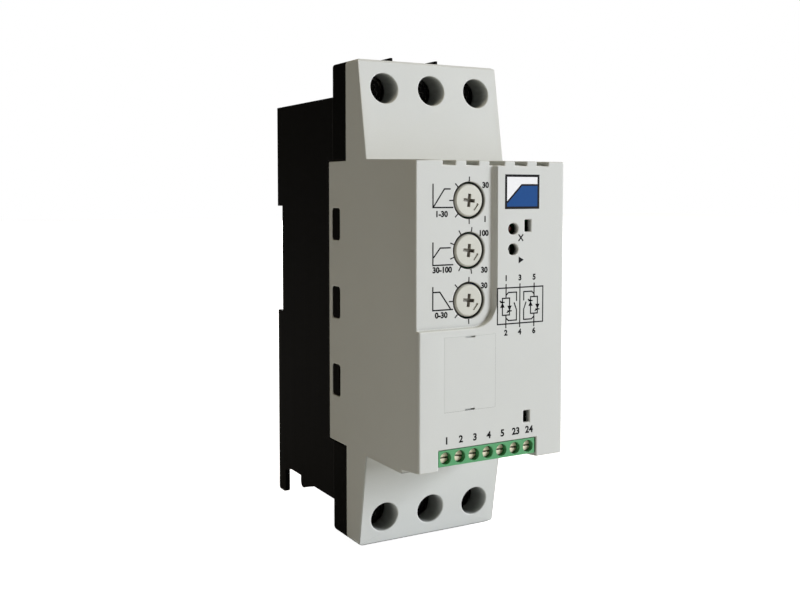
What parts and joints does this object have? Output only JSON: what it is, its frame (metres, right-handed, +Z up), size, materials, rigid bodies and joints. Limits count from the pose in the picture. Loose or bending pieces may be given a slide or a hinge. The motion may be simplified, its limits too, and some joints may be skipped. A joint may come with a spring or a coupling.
{
  "type": "soft starter",
  "caption": "Slim grey rail-mounted motor soft starter with sloped terminal hoods, trimmer dials, lamps, green control terminals and a black finned heat sink.",
  "frame": {"origin": "middle of the rail seat, on the floor of the rail notch", "axes": "+Z up along the rail clip, front face towards -Y, +Y into the rail"},
  "size_m": [0.0524, 0.1043, 0.1622],
  "materials": {
    "cover_grey": "fine spark-eroded moulding texture",
    "base_black": "black glass-filled moulding",
    "sink_black": "black anodised extrusion",
    "clip_black": "black nylon",
    "zinc_steel": "zinc plated",
    "screw_black": "black oxide",
    "control_screw_nickel": "nickel plated",
    "copper": "bare copper strip",
    "module_black": "moulded epoxy",
    "sensor_blue": "dipped coating",
    "board_green": "solder resist on glass laminate",
    "relay_orange": "moulded case",
    "relay_white": "moulded case",
    "winding_yellow": "taped winding",
    "sleeve_blue": "shrink sleeve",
    "dial_ivory": "ivory moulding",
    "lamp_red": "tinted epoxy, unlit",
    "lamp_green": "tinted epoxy, unlit",
    "terminal_green": "green polyamide"
  },
  "bodies": {
    "unit": {"front_cover": "cover_grey", "option_cover": "cover_grey", "base_housing": "base_black", "heat_sink": "sink_black", "din_bracket": "clip_black", "latch_spring": "zinc_steel", "bracket_screws": "zinc_steel", "base_screws": "zinc_steel", "thyristor_screws": "zinc_steel", "line_clamps": "zinc_steel", "load_clamps": "zinc_steel", "power_board_screws": "zinc_steel", "control_board_screws": "zinc_steel", "control_clamps": "zinc_steel", "line_screws": "screw_black", "load_screws": "screw_black", "control_screws": "control_screw_nickel", "line_busbars": "copper", "load_busbars": "copper", "through_busbar": "copper", "thyristor_left": "module_black", "thyristor_right": "module_black", "processor": "module_black", "board_header": "module_black", "thermistor": "sensor_blue", "varistors": "sensor_blue", "potentiometers": "sensor_blue", "power_board": "board_green", "control_board": "board_green", "bypass_relay_left": "relay_orange", "bypass_relay_right": "relay_orange", "signal_relay": "relay_white", "transformer": "winding_yellow", "capacitors": "sleeve_blue", "lamp_error": "lamp_red", "lamp_run": "lamp_green", "control_block": "terminal_green"},
    "start_time_dial": {"dial_start_time": "dial_ivory"},
    "start_voltage_dial": {"dial_start_voltage": "dial_ivory"},
    "stop_time_dial": {"dial_stop_time": "dial_ivory"},
    "rail_latch": {"din_latch": "clip_black"}
  },
  "joints": [
    {"name": "start_time_turn", "type": "hinge", "parent": "unit", "child": "start_time_dial", "pos_m": [-0.00795, -0.09835, 0.02225], "axis": [0, 1, 0], "range_deg": [0, 270]},
    {"name": "start_voltage_turn", "type": "hinge", "parent": "unit", "child": "start_voltage_dial", "pos_m": [-0.00795, -0.09835, 0.0074], "axis": [0, 1, 0], "range_deg": [0, 270]},
    {"name": "stop_time_turn", "type": "hinge", "parent": "unit", "child": "stop_time_dial", "pos_m": [-0.00795, -0.09835, -0.00745], "axis": [0, 1, 0], "range_deg": [0, 270]},
    {"name": "latch_slide", "type": "slide", "parent": "unit", "child": "rail_latch", "axis": [0, 0, -1], "range_m": [0, 0.005], "stiffness_N_per_m": 600, "springref_m": -0.004, "deforming": ["latch_spring"]}
  ]
}
